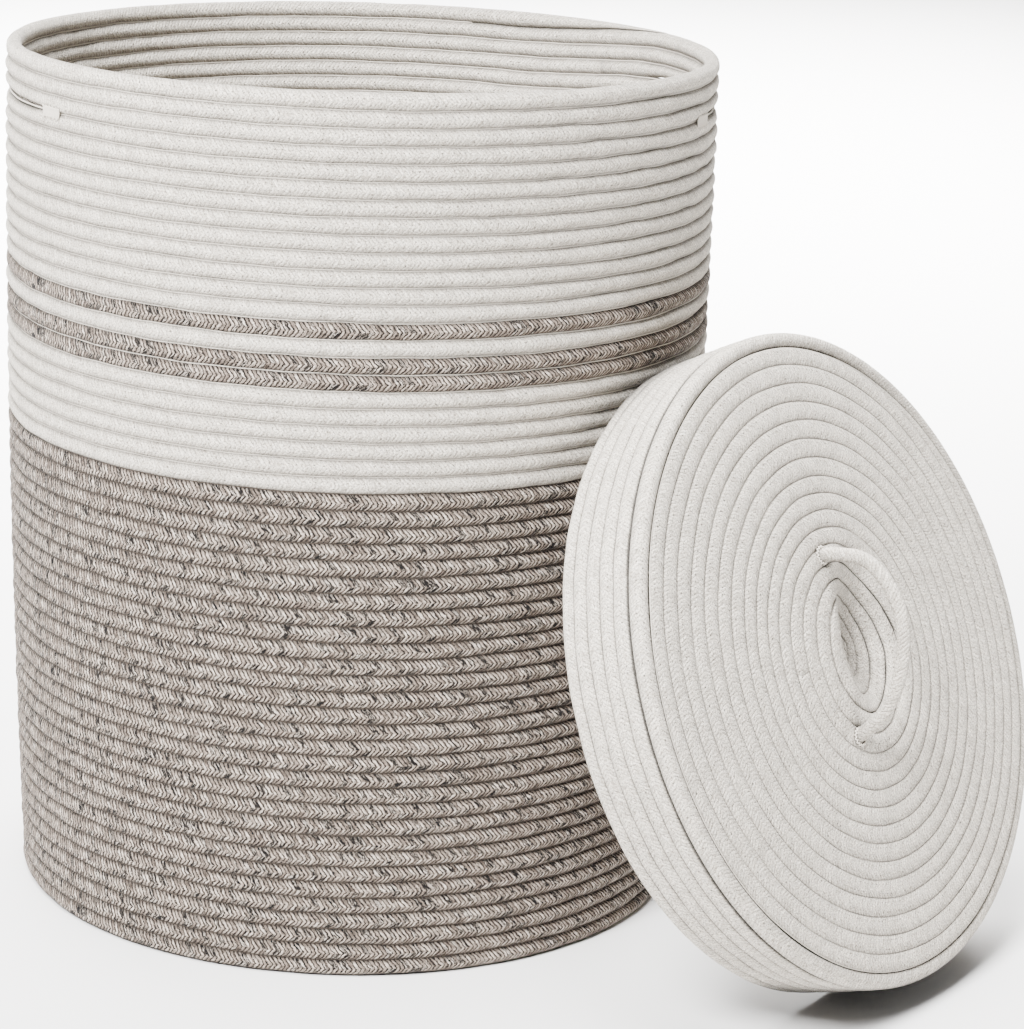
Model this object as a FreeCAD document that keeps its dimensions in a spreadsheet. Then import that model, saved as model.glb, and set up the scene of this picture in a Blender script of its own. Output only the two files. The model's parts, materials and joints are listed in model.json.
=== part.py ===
"""Laundry hamper with lid, coiled and sewn from cotton rope.

The basket stands with its base centre at the origin. Its lid is off and leans against it, one edge
on the floor. Both are coils of one rope after another: every row is a turn of rope that is sewn to
the row beside it, so a coil's section is a chain of rounded rope sections that meet at flat seams.
Millimetres, +Z up.
"""
import FreeCAD, Part
import os
import Sketcher
from math import asin, cos, degrees, hypot, pi, radians, sin

Vector = FreeCAD.Vector
UP = Vector(0, 0, 1)
ORIGIN = Vector(0, 0, 0)
ROUND = cos(radians(45))            # where the shoulder of a round rope lies between side and top

doc = FreeCAD.newDocument("hamper")

# ---------------------------------------------------------------- driving dimensions
SIZES = {
    # basket wall
    "mouth_radius": 209.7,          # outside of the top row
    "foot_radius": 201.8,           # outside of the bottom row
    "belly": 3.4,                   # how far the wall swells out at half its height
    "row_pitch": 9.585,             # height of one row of rope
    "rope_depth": 9.0,              # thickness of the rope through the wall
    "seam_width": 5.8,              # width over which two rows are pressed together
    # rows of each rope, from the floor up
    "lower_rows": 30,
    "middle_rows": 6,
    "double_rows": 2,
    "spacer_rows": 1,
    "single_rows": 1,
    "upper_rows": 10,
    "rim_rows": 3,
    # base
    "base_core_radius": 10.0,
    # hand slits under the rim rows
    "slit_length": 176.0,
    "slit_gap": 3.8,
    "left_slit_angle": 186.5,
    "right_slit_angle": 355.5,
    "tack_length": 11.0,
    "tack_thickness": 1.2,
    "tack_gap": 0.15,
    # sewing thread
    "thread_radius": 0.5,
    "thread_gap": 0.1,
    # lid
    "lid_radius": 188.5,            # outside of the row at its top edge
    "lid_mouth_radius": 185.0,      # outside of the row at its open edge
    "lid_row_pitch": 9.7,
    "lid_wall_rows": 5,
    "ring_pitch": 10.05,            # width of one ring of its face
    "recess_rings": 5,
    "lid_core_size": 8.0,           # smallest radius of the button of rope at its middle
    "face_crown": 6.0,              # rise of the face from its edge to its middle
    "recess_depth": 10.0,           # hollow under the handle
    # handle of the lid
    "handle_span": 102.0,
    "handle_rise": 43.0,
    "handle_rope_radius": 4.6,
    "handle_seat_gap": 0.1,
    "collar_radius": 1.0,
    "collar_clearance": 0.6,        # round the handle's rope, which leans where it rises
    # how the lid leans
    "lean_angle": 22.3,             # of the lid's axis above the floor
    "lean_heading": -40.0,          # compass way that the lid's axis points, from +X towards +Y
    "lean_offset": 37.3,            # of the lid's centre, sideways of the basket's axis
    "lean_gap": 0.35,               # between the lid and the basket's wall
}

sheet = doc.addObject("Spreadsheet::Sheet", "Sizes")
for line, (alias, value) in enumerate(SIZES.items(), start=1):
    sheet.set(f"A{line}", alias)
    sheet.set(f"B{line}", str(value))
    sheet.setAlias(f"B{line}", alias)
doc.recompute()


def size(alias):
    """Value of one cell of the sheet."""
    return float(getattr(sheet, alias))


def count(alias):
    """Whole number in one cell of the sheet."""
    return int(round(size(alias)))


ROPES = ["lower_rows", "middle_rows", "double_rows", "spacer_rows", "single_rows", "upper_rows", "rim_rows"]
FIRST_ROW = {rope: sum(count(below) for below in ROPES[:place]) for place, rope in enumerate(ROPES)}
ALL_ROWS = sum(count(rope) for rope in ROPES)

row_pitch = size("row_pitch")
rope_depth = size("rope_depth")
seam_width = size("seam_width")
bulge = (rope_depth - seam_width) / 2
basket_height = ALL_ROWS * row_pitch


# ---------------------------------------------------------------- shapes of coiled rope
def section_point(radius, height):
    """Point of a section that is turned round the Z axis."""
    return Vector(radius, 0, height)


def seam(middle, across):
    """The two ends of a seam: across is the unit way through the rope's thickness."""
    return middle + across * (seam_width / 2), middle - across * (seam_width / 2)


def rope_arc(start, end, outward):
    """Side of one rope between two seams, swelling outward by the bulge."""
    middle = (start + end) / 2 + outward * bulge
    return Part.Arc(start, middle, end).toShape()


def turned(edges):
    """Solid of revolution of a closed chain of edges."""
    face = Part.Face(Part.Wire(Part.__sortEdges__(edges)))
    return face.revolve(ORIGIN, UP, 360)


def chain(middles, across):
    """Edges of both sides of a coil whose seams have these middles, with no ends."""
    edges = []
    for low, high in zip(middles, middles[1:]):
        low_out, low_in = seam(low, across)
        high_out, high_in = seam(high, across)
        edges.append(rope_arc(low_out, high_out, across))
        edges.append(rope_arc(low_in, high_in, across * -1))
    return edges


def seam_edge(middle, across):
    """Straight edge of the section along one seam."""
    return Part.makeLine(*seam(middle, across))


def free_edge_cap(seam_middle, rope_middle, pitch):
    """Edges of a row with a free, rounded side opposite its seam, away from rope_middle."""
    out = Vector(1, 0, 0)
    away = UP if rope_middle.z > seam_middle.z else UP * -1
    seam_out, seam_in = seam(seam_middle, out)
    side = out * (rope_depth / 2)
    tip = rope_middle + away * (pitch / 2)
    shoulder_out = rope_middle + side * ROUND + away * (pitch / 2 * ROUND)
    shoulder_in = rope_middle - side * ROUND + away * (pitch / 2 * ROUND)
    return [
        Part.Arc(seam_out, rope_middle + side, shoulder_out).toShape(),
        Part.Arc(shoulder_out, tip, shoulder_in).toShape(),
        Part.Arc(shoulder_in, rope_middle - side, seam_in).toShape(),
    ]


def add_shape(label, shape, placement=None):
    """Sub-part whose section is a chain of arcs that no single sketch feature makes."""
    feature = doc.addObject("Part::Feature", label)
    feature.Label = label
    feature.Shape = shape
    if placement is not None:
        feature.Placement = placement
    return feature


# ---------------------------------------------------------------- basket wall
def wall_radius(height):
    """Outside of the wall, over the crests of its rows."""
    share = height / basket_height
    straight = size("foot_radius") + (size("mouth_radius") - size("foot_radius")) * share
    return straight + 4 * size("belly") * share * (1 - share)


def wall_middle(row):
    """Middle of the wall at the seam below this row."""
    height = row * row_pitch
    return section_point(wall_radius(height) - rope_depth / 2, height)


def wall_band(rope):
    """Rows of one rope with a seam below and a seam above."""
    first = FIRST_ROW[rope]
    middles = [wall_middle(first + step) for step in range(count(rope) + 1)]
    across = Vector(1, 0, 0)
    ends = [seam_edge(middles[0], across), seam_edge(middles[-1], across)]
    return turned(chain(middles, across) + ends)


def lower_wall():
    """Bottom rope: its first row lies on the floor, flat on the inside where the base is sewn to it."""
    across = Vector(1, 0, 0)
    middles = [wall_middle(row) for row in range(1, count("lower_rows") + 1)]
    seam_out, seam_in = seam(middles[0], across)
    rope = section_point(wall_middle(0.5).x, row_pitch / 2)
    side = across * (rope_depth / 2)
    shoulder = rope + side * ROUND - UP * (row_pitch / 2 * ROUND)
    foot = section_point(rope.x, 0)
    heel = section_point(base_edge_radius, 0)
    inside = section_point(base_edge_radius, row_pitch / 2)
    first_row = [
        Part.Arc(seam_out, rope + side, shoulder).toShape(),
        Part.Arc(shoulder, (shoulder + foot) / 2 + (across - UP) * (bulge / 4), foot).toShape(),
        Part.makeLine(foot, heel),
        Part.makeLine(heel, inside),
        Part.Arc(inside, (inside + seam_in) / 2 - across * (bulge / 4), seam_in).toShape(),
    ]
    return turned(first_row + chain(middles, across) + [seam_edge(middles[-1], across)])


def rim_band():
    """Top rope: its last row is free and round."""
    across = Vector(1, 0, 0)
    first = FIRST_ROW["rim_rows"]
    middles = [wall_middle(row) for row in range(first, ALL_ROWS)]
    rope = section_point(wall_middle(ALL_ROWS - 0.5).x, (ALL_ROWS - 0.5) * row_pitch)
    cap = free_edge_cap(middles[-1], rope, row_pitch)
    return turned([seam_edge(middles[0], across)] + chain(middles, across) + cap)


def slit_tool(angle):
    """Leaf-shaped cutter of one hand slit, pointed at both ends and centred on its seam."""
    seam_height = FIRST_ROW["rim_rows"] * row_pitch
    reach = wall_radius(seam_height) + rope_depth
    start = Vector(reach - 3 * rope_depth, -size("slit_length") / 2, seam_height)
    end = start + Vector(0, size("slit_length"), 0)
    top = (start + end) / 2 + UP * (size("slit_gap") / 2)
    low = (start + end) / 2 - UP * (size("slit_gap") / 2)
    leaf = Part.Wire([Part.Arc(start, top, end).toShape(), Part.Arc(end, low, start).toShape()])
    tool = Part.Face(leaf).extrude(Vector(3 * rope_depth, 0, 0))
    tool.rotate(ORIGIN, UP, angle)
    return tool


SLIT_ANGLES = [size("left_slit_angle"), size("right_slit_angle")]
base_edge_radius = wall_middle(0.5).x - rope_depth / 2


def with_slits(label, shape):
    """A band of rope that is cut by both hand slits."""
    band = add_shape(label + "_uncut", shape)
    tools = add_shape(label + "_slits", Part.makeCompound([slit_tool(angle) for angle in SLIT_ANGLES]))
    cut = doc.addObject("Part::Cut", label)
    cut.Label = label
    cut.Base = band
    cut.Tool = tools
    return cut


def radius_text(rows_below):
    """Expression for the middle of the wall's thickness at the seam over this many rows."""
    share = f"(({rows_below}) / ({' + '.join('Sizes.' + rope for rope in ROPES)}))"
    slope = "(Sizes.mouth_radius - Sizes.foot_radius)"
    crest = f"Sizes.foot_radius + {slope} * {share} + 4 * Sizes.belly * {share} * (1 - {share})"
    return f"{crest} - Sizes.rope_depth / 2"


def single_row_body(label, rope):
    """One turn of rope between two seams: a revolved sketch bound to the sheet."""
    body = doc.addObject("PartDesign::Body", label)
    body.Label = label
    sketch = body.newObject("Sketcher::SketchObject", label + "_section")
    plane = [item for item in body.Origin.OriginFeatures if item.Role == "XZ_Plane"][0]
    sketch.AttachmentSupport = [(plane, "")]
    sketch.MapMode = "FlatFace"
    row = FIRST_ROW[rope]
    low, high = wall_middle(row), wall_middle(row + 1)
    half = seam_width / 2
    corners = [
        Vector(low.x - half, low.z, 0),
        Vector(low.x + half, low.z, 0),
        Vector(high.x + half, high.z, 0),
        Vector(high.x - half, high.z, 0),
    ]
    low_in, low_out, high_out, high_in = corners
    belly_out = (low_out + high_out) / 2 + Vector(bulge, 0, 0)
    belly_in = (low_in + high_in) / 2 - Vector(bulge, 0, 0)
    bottom = sketch.addGeometry(Part.LineSegment(low_in, low_out), False)
    outer = sketch.addGeometry(Part.Arc(low_out, belly_out, high_out), False)
    top = sketch.addGeometry(Part.LineSegment(high_out, high_in), False)
    inner = sketch.addGeometry(Part.Arc(high_in, belly_in, low_in), False)
    joined = sketch.addConstraint
    row_arc_radius = row_pitch ** 2 / (8 * bulge) + bulge / 2
    joined(Sketcher.Constraint("Coincident", bottom, 2, outer, 1))
    joined(Sketcher.Constraint("Coincident", outer, 2, top, 1))
    joined(Sketcher.Constraint("Coincident", top, 2, inner, 1))
    joined(Sketcher.Constraint("Coincident", inner, 2, bottom, 1))
    joined(Sketcher.Constraint("Horizontal", bottom))
    joined(Sketcher.Constraint("Horizontal", top))
    rows_below = " + ".join("Sizes." + below for below in ROPES[:ROPES.index(rope)])
    row_text = f"({rows_below}) * Sizes.row_pitch"
    arc_text = "Sizes.row_pitch ^ 2 / (4 * (Sizes.rope_depth - Sizes.seam_width))"
    arc_text += " + (Sizes.rope_depth - Sizes.seam_width) / 4"
    bound = [
        ("low_radius", ("DistanceX", -1, 1, bottom, 2, low_out.x),
         radius_text(rows_below) + " + Sizes.seam_width / 2"),
        ("low_height", ("DistanceY", -1, 1, bottom, 2, low_out.y), row_text),
        ("low_seam", ("DistanceX", bottom, 1, bottom, 2, seam_width), "Sizes.seam_width"),
        ("high_radius", ("DistanceX", -1, 1, top, 1, high_out.x),
         radius_text(rows_below + " + Sizes." + rope) + " + Sizes.seam_width / 2"),
        ("high_height", ("DistanceY", -1, 1, top, 1, high_out.y), row_text + f" + Sizes.{rope} * Sizes.row_pitch"),
        ("high_seam", ("DistanceX", top, 2, top, 1, seam_width), "Sizes.seam_width"),
        ("outer_arc", ("Radius", outer, row_arc_radius), arc_text),
        ("inner_arc", ("Radius", inner, row_arc_radius), arc_text),
    ]
    for name, arguments, text in bound:
        place = joined(Sketcher.Constraint(*arguments))
        sketch.renameConstraint(place, name)
        sketch.setExpression(f"Constraints.{name}", text)
    turn = body.newObject("PartDesign::Revolution", label + "_turn")
    turn.Profile = sketch
    turn.ReferenceAxis = (sketch, ["V_Axis"])
    turn.Angle = 360
    body.Tip = turn
    return body


# ---------------------------------------------------------------- base
def base_rings():
    """How many whole rings fit between the core and the wall."""
    return int((base_edge_radius - size("base_core_radius")) / row_pitch)


def base_core_edge():
    """Radius at which the core meets the rings."""
    return base_edge_radius - base_rings() * row_pitch


def base_coil():
    """Flat coil from the wall's first row in to the core."""
    height = rope_depth / 2
    middles = [section_point(base_edge_radius - step * row_pitch, height) for step in range(base_rings() + 1)]
    return turned(chain(middles, UP) + [seam_edge(middles[0], UP), seam_edge(middles[-1], UP)])


def core_body(label, radius, height):
    """Start of a coil: a round button of rope, as a revolved sketch whose sizes follow the sheet."""
    body = doc.addObject("PartDesign::Body", label)
    body.Label = label
    sketch = body.newObject("Sketcher::SketchObject", label + "_section")
    plane = [item for item in body.Origin.OriginFeatures if item.Role == "XZ_Plane"][0]
    sketch.AttachmentSupport = [(plane, "")]
    sketch.MapMode = "FlatFace"
    low = height - rope_depth / 2
    high = height + rope_depth / 2
    flat = radius - rope_depth / 4
    outline = [
        Vector(0, low, 0),
        Vector(flat, low, 0),
        Vector(radius, low + bulge, 0),
        Vector(radius, high - bulge, 0),
        Vector(flat, high, 0),
        Vector(0, high, 0),
    ]
    sides = [
        sketch.addGeometry(Part.LineSegment(start, end), False)
        for start, end in zip(outline, outline[1:] + outline[:1])
    ]
    for side, after in zip(sides, sides[1:] + sides[:1]):
        sketch.addConstraint(Sketcher.Constraint("Coincident", side, 2, after, 1))
    bottom, low_edge, rim, high_edge, top, axis = sides
    sketch.addConstraint(Sketcher.Constraint("Horizontal", bottom))
    sketch.addConstraint(Sketcher.Constraint("Horizontal", top))
    sketch.addConstraint(Sketcher.Constraint("Vertical", rim))
    sketch.addConstraint(Sketcher.Constraint("PointOnObject", bottom, 1, -2))
    sketch.addConstraint(Sketcher.Constraint("PointOnObject", top, 2, -2))
    half_depth = "Sizes.rope_depth / 2"
    bound = [
        ("core_low", ("DistanceY", -1, 1, bottom, 1, low), f"{height} - {half_depth}"),
        ("core_depth", ("DistanceY", bottom, 1, top, 2, rope_depth), "Sizes.rope_depth"),
        ("core_rim", ("DistanceX", -1, 1, rim, 1, radius), f"{radius}"),
        ("core_flat", ("DistanceX", -1, 1, bottom, 2, flat), f"{radius} - Sizes.rope_depth / 4"),
        ("core_top", ("DistanceX", -1, 1, top, 1, flat), f"{radius} - Sizes.rope_depth / 4"),
        ("core_seam", ("DistanceY", rim, 1, rim, 2, seam_width), "Sizes.seam_width"),
        ("core_rise", ("DistanceY", bottom, 2, rim, 1, bulge), "(Sizes.rope_depth - Sizes.seam_width) / 2"),
    ]
    for name, arguments, text in bound:
        place = sketch.addConstraint(Sketcher.Constraint(*arguments))
        sketch.renameConstraint(place, name)
        sketch.setExpression(f"Constraints.{name}", text)
    turn = body.newObject("PartDesign::Revolution", label + "_turn")
    turn.Profile = sketch
    turn.ReferenceAxis = (sketch, ["V_Axis"])
    turn.Angle = 360
    body.Tip = turn
    return body


# ---------------------------------------------------------------- thread and tacks
def thread_hoop(radius, height):
    """Sewing thread that lies in one groove between two rows: a ring of diamond section."""
    half = size("thread_radius")
    corners = [
        section_point(radius + half, height),
        section_point(radius, height + half),
        section_point(radius - half, height),
        section_point(radius, height - half),
    ]
    return turned([Part.makeLine(start, end) for start, end in zip(corners, corners[1:] + corners[:1])])


def group(label, members, placement=None):
    """Several pieces of one kind as one sub-part."""
    compound = doc.addObject("Part::Compound", label)
    compound.Label = label
    compound.Links = members
    if placement is not None:
        compound.Placement = placement
    return compound


def thread_seat():
    """Distance of a thread's middle from the bottom of its groove."""
    return 1.3 * size("thread_radius") + size("thread_gap")


def wall_thread():
    """Thread in each outer groove of the basket's wall."""
    reach = seam_width / 2 + thread_seat()
    hoops = [thread_hoop(wall_middle(row).x + reach, row * row_pitch) for row in range(1, ALL_ROWS)]
    return add_shape("wall_seam_thread", Part.makeCompound(hoops))


def base_thread():
    """Thread in each groove on the inside of the base."""
    height = rope_depth - bulge + thread_seat()
    hoops = [thread_hoop(base_edge_radius - ring * row_pitch, height) for ring in range(1, base_rings())]
    return add_shape("base_seam_thread", Part.makeCompound(hoops))


def slit_tacks():
    """Short bands of close stitches at both ends of each hand slit."""
    seam_height = FIRST_ROW["rim_rows"] * row_pitch
    crest = max(wall_radius(seam_height + step * row_pitch) for step in (-1, 0, 1))
    tack_angle = size("tack_length") / crest * 180 / pi
    slit_angle = size("slit_length") / crest * 180 / pi
    tacks = []
    for side, middle in zip(("left", "right"), SLIT_ANGLES):
        for end, first in (("low", -slit_angle / 2 - tack_angle), ("high", slit_angle / 2)):
            label = f"{side}_{end}_tack"
            sleeve = doc.addObject("Part::Cylinder", label + "_sleeve")
            bore = doc.addObject("Part::Cylinder", label + "_bore")
            sleeve.Radius = crest + size("tack_gap") + size("tack_thickness")
            bore.Radius = crest + size("tack_gap")
            sleeve.Angle = tack_angle
            bore.Angle = 360
            for cylinder in (sleeve, bore):
                cylinder.setExpression("Height", "Sizes.row_pitch")
            spin = FreeCAD.Rotation(UP, middle + first)
            sleeve.Placement = FreeCAD.Placement(Vector(0, 0, seam_height - row_pitch / 2), spin)
            bore.Placement.Base = Vector(0, 0, seam_height - row_pitch / 2)
            tack = doc.addObject("Part::Cut", label)
            tack.Base = sleeve
            tack.Tool = bore
            tacks.append(tack)
    return group("hand_slit_tacks", tacks)


# ---------------------------------------------------------------- lid, in its own frame
# Its open edge is at z 0, and its face looks along +Z.
lid_pitch = size("lid_row_pitch")
ring_pitch = size("ring_pitch")
lid_wall_top = count("lid_wall_rows") * lid_pitch
lid_depth = lid_wall_top + lid_pitch
corner_middle = section_point(size("lid_radius") - rope_depth / 2, lid_wall_top + lid_pitch / 2)
face_edge_radius = corner_middle.x - ring_pitch / 2
face_room = face_edge_radius - count("recess_rings") * ring_pitch - size("lid_core_size")
flat_rings = int(face_room / ring_pitch)
recess_radius = face_edge_radius - flat_rings * ring_pitch
lid_core_radius = recess_radius - count("recess_rings") * ring_pitch


def lid_wall_middle(row):
    """Middle of the lid's side at the seam below this row; it draws in towards the open edge."""
    height = row * lid_pitch
    share = height / lid_wall_top
    crest = size("lid_mouth_radius") + (size("lid_radius") - size("lid_mouth_radius")) * share
    return section_point(crest - rope_depth / 2, height)


def face_middle(radius):
    """Middle of the face's thickness: a low dome with a bowl pressed into it."""
    dome = size("face_crown") * (1 - (radius / size("lid_radius")) ** 2)
    bowl = 0
    if radius < recess_radius:
        bowl = size("recess_depth") * (1 - (radius / recess_radius) ** 2) ** 2
    return section_point(radius, lid_depth - rope_depth / 2 + dome - bowl)


def lid_wall():
    """Rows of the lid's side, the last of them free and round."""
    out = Vector(1, 0, 0)
    middles = [lid_wall_middle(row) for row in range(1, count("lid_wall_rows") + 1)]
    rope = section_point(lid_wall_middle(0.5).x, lid_pitch / 2)
    cap = free_edge_cap(middles[0], rope, lid_pitch)
    return turned(cap + chain(middles, out) + [seam_edge(middles[-1], out)])


def lid_corner():
    """The one row that turns the corner between the side and the face."""
    out = Vector(1, 0, 0)
    wall_seam = lid_wall_middle(count("lid_wall_rows"))
    face_seam = face_middle(face_edge_radius)
    wall_out, wall_in = seam(wall_seam, out)
    face_out, face_in = seam(face_seam, UP)
    side = out * (rope_depth / 2)
    shoulder = corner_middle + side * ROUND + UP * (rope_depth / 2 * ROUND)
    fold = (wall_in + face_in) / 2 - (out + UP) * (bulge / 4)
    return turned([
        Part.makeLine(wall_out, wall_in),
        Part.Arc(wall_in, fold, face_in).toShape(),
        Part.makeLine(face_in, face_out),
        Part.Arc(face_out, shoulder, wall_out).toShape(),
    ])


def face_rings(outer_radius, rings):
    """Rings of the face from this radius inwards."""
    middles = [face_middle(outer_radius - step * ring_pitch) for step in range(rings + 1)]
    return turned(chain(middles, UP) + [seam_edge(middles[0], UP), seam_edge(middles[-1], UP)])


def lid_thread(placement):
    """Thread in the outer grooves of the lid, the edge seam among them."""
    reach = seam_width / 2 + thread_seat()
    side_seams = [lid_wall_middle(row) for row in range(1, count("lid_wall_rows") + 1)]
    rings = flat_rings + count("recess_rings")
    face_seams = [face_middle(face_edge_radius - ring * ring_pitch) for ring in range(1, rings)]
    hoops = [thread_hoop(middle.x + reach, middle.z) for middle in side_seams]
    hoops += [thread_hoop(middle.x, middle.z + reach) for middle in face_seams]
    return add_shape("lid_seam_thread", Part.makeCompound(hoops), placement)


def handle_foot_height():
    """Crest of the ring that the handle's rope comes out of."""
    steps = [step * ring_pitch / 4 for step in (-2, -1, 0, 1, 2)]
    return max(face_middle(size("handle_span") / 2 + step).z for step in steps) + rope_depth / 2


def lid_handle(placement):
    """Rope of one ring, left unsewn and arched over the hollow: part of a torus, in the lid's YZ plane."""
    half_span = size("handle_span") / 2
    rise = size("handle_rise")
    arch_radius = (half_span ** 2 + rise ** 2) / (2 * rise)
    drop = arch_radius - rise
    tilt = degrees(asin(drop / arch_radius))
    foot = handle_foot_height() + size("handle_rope_radius") * drop / arch_radius + size("handle_seat_gap")
    arch = doc.addObject("Part::Torus", "lid_handle")
    arch.Label = "lid_handle"
    arch.Radius1 = arch_radius
    arch.setExpression("Radius2", "Sizes.handle_rope_radius")
    arch.Angle3 = 180 - 2 * tilt
    # the torus lies in its own XY plane and starts on its X axis
    stand = FreeCAD.Rotation(Vector(0, 1, 0), UP, Vector(1, 0, 0), "XYZ")
    start = FreeCAD.Rotation(UP, tilt)
    arch.Placement = placement * FreeCAD.Placement(Vector(0, 0, foot - drop), stand * start)
    return arch


def handle_collars(placement):
    """Stitches round both feet of the handle."""
    rings = []
    for name, side in (("near", -1), ("far", 1)):
        ring = doc.addObject("Part::Torus", f"handle_{name}_collar")
        ring.Radius1 = size("handle_rope_radius") + size("collar_radius") + size("collar_clearance")
        ring.setExpression("Radius2", "Sizes.collar_radius")
        height = handle_foot_height() + size("collar_radius") + size("handle_seat_gap")
        ring.Placement.Base = Vector(0, side * size("handle_span") / 2, height)
        rings.append(ring)
    return group("lid_handle_tacks", rings, placement)


# ---------------------------------------------------------------- how the lid leans
lean = radians(size("lean_angle"))
heading = radians(size("lean_heading"))
ahead = Vector(cos(heading), sin(heading), 0)
lid_axis = ahead * cos(lean) + UP * sin(lean)
lid_side = UP.cross(ahead)
lid_rise = lid_axis.cross(lid_side)
open_rope_radius = lid_wall_middle(0.5).x
rope_half = lid_pitch / 2


def wall_gap(distance):
    """Smallest gap between the lid's open edge and the basket, with the lid this far ahead."""
    lowest = open_rope_radius * cos(lean) - rope_half * sin(lean) + rope_half
    origin = ahead * distance + lid_side * size("lean_offset") + UP * lowest
    gaps = []
    for step in range(-90, 91):
        turn = radians(step / 2)
        point = origin + lid_side * (open_rope_radius * sin(turn))
        point = point + lid_rise * (open_rope_radius * cos(turn)) + lid_axis * rope_half
        gaps.append(hypot(point.x, point.y) - wall_radius(point.z) - rope_half)
    return min(gaps), origin


def leaning_place():
    """Placement of the lid: open edge on the floor, back of the edge against the wall."""
    near, far = 0.0, 3 * size("mouth_radius")
    while far - near > 0.001:
        middle = (near + far) / 2
        if wall_gap(middle)[0] < size("lean_gap"):
            near = middle
        else:
            far = middle
    turn = FreeCAD.Rotation(lid_side, lid_rise, lid_axis, "ZXY")
    return FreeCAD.Placement(wall_gap(far)[1], turn)


# ---------------------------------------------------------------- the parts
lid_place = leaning_place()

parts = [
    core_body("base_core", base_core_edge(), rope_depth / 2),
    add_shape("base_coil", base_coil()),
    base_thread(),
    add_shape("lower_wall", lower_wall()),
    add_shape("middle_band", wall_band("middle_rows")),
    add_shape("double_stripe", wall_band("double_rows")),
    single_row_body("spacer_row", "spacer_rows"),
    single_row_body("single_stripe", "single_rows"),
    with_slits("upper_wall", wall_band("upper_rows")),
    with_slits("rim_band", rim_band()),
    slit_tacks(),
    wall_thread(),
    core_body("lid_core", lid_core_radius, face_middle(lid_core_radius).z),
    add_shape("lid_recess", face_rings(recess_radius, count("recess_rings")), lid_place),
    add_shape("lid_face", face_rings(face_edge_radius, flat_rings), lid_place),
    add_shape("lid_corner_row", lid_corner(), lid_place),
    add_shape("lid_wall", lid_wall(), lid_place),
    lid_handle(lid_place),
    handle_collars(lid_place),
    lid_thread(lid_place),
]
doc.getObject("lid_core").Placement = lid_place

doc.recompute()
for item in doc.Objects:
    if "Invalid" in item.State or "Error" in item.State:
        raise RuntimeError(f"{item.Label} failed: {item.State}")

os.makedirs("parts", exist_ok=True)
for part in parts:
    if part.Shape.isNull() or not part.Shape.isValid():
        raise RuntimeError(f"{part.Label} has no valid shape")
for part in parts:
    part.Shape.exportStep(f"parts/{part.Label}.step")
    print(part.Label, len(part.Shape.Solids), round(part.Shape.Volume))
print("lid origin", lid_place.Base, "axis", lid_axis)
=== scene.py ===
import json
import math

import bmesh
import bpy
import numpy as np
from mathutils import Matrix, Vector


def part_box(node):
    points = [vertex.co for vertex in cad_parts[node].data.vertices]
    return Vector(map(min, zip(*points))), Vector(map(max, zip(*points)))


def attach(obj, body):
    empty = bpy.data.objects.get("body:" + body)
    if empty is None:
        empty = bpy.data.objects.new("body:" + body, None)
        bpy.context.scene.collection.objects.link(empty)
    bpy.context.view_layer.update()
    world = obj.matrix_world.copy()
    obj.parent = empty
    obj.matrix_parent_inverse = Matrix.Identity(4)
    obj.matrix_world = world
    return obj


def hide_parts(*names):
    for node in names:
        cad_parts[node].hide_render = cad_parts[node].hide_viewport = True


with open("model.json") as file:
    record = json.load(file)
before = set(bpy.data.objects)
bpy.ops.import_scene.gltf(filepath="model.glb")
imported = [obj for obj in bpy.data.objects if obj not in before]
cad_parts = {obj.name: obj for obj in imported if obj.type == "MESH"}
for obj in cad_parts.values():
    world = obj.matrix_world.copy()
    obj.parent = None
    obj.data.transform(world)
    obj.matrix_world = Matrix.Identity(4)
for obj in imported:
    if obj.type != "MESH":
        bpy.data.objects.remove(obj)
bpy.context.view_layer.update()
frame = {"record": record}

MM = 0.001

# --- sizes in mm, from the frame where it holds them -------------------------------------


def box_mm(node):
    """Low and high corner of a node of the frame, in mm."""
    low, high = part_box(node)
    return Vector(low) / MM, Vector(high) / MM


LOWER_ROWS = 30             # heather, from the floor up
MIDDLE_ROWS = 6
DOUBLE_ROWS = 2
SPACER_ROWS = 1
SINGLE_ROWS = 1
UPPER_ROWS = 10
RIM_ROWS = 3
SLIT_ROW = LOWER_ROWS + MIDDLE_ROWS + DOUBLE_ROWS + SPACER_ROWS + SINGLE_ROWS + UPPER_ROWS
WALL_ROWS = SLIT_ROW + RIM_ROWS     # the slits are between SLIT_ROW and the next row up
WALL_HEIGHT = box_mm("rim_band")[1].z
ROW_PITCH = WALL_HEIGHT / WALL_ROWS
ROPE_DEPTH = box_mm("base_coil")[1].z
BASE_EDGE = box_mm("base_coil")[1].x
BASE_CORE = box_mm("base_core")[1].x
ROOM = 0.2                  # taken off the radii at the foot and the mouth
FOOT_RADIUS = BASE_EDGE + ROPE_DEPTH - ROOM
MOUTH_RADIUS = box_mm("rim_band")[1].x - ROOM
BELLY = 3.4                 # the wall swells this much at half its height

SLIT_LENGTH = 176.0
SLIT_GAP = 3.8
SLIT_ANGLES = (math.radians(186.5), math.radians(363.5))

STEP_START = math.radians(62)   # where a row of the wall steps up to the next, at the back
STEP_SHARE = 42 / 360           # part of a turn that the step takes
WALL_TURN = 1290                # rough length of a turn, for the unevenness along it
SIDE_TURN = 1150
FACE_TURN = 600
HAND_WAVE = 0.3                 # how far hand-guided rows wander off their line
END_GAP = 0.012                 # part of a turn left off a rope's end, so that its cap is not a point
TOP_GAP = 0.008                 # the same at the end of the wall's top row

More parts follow.
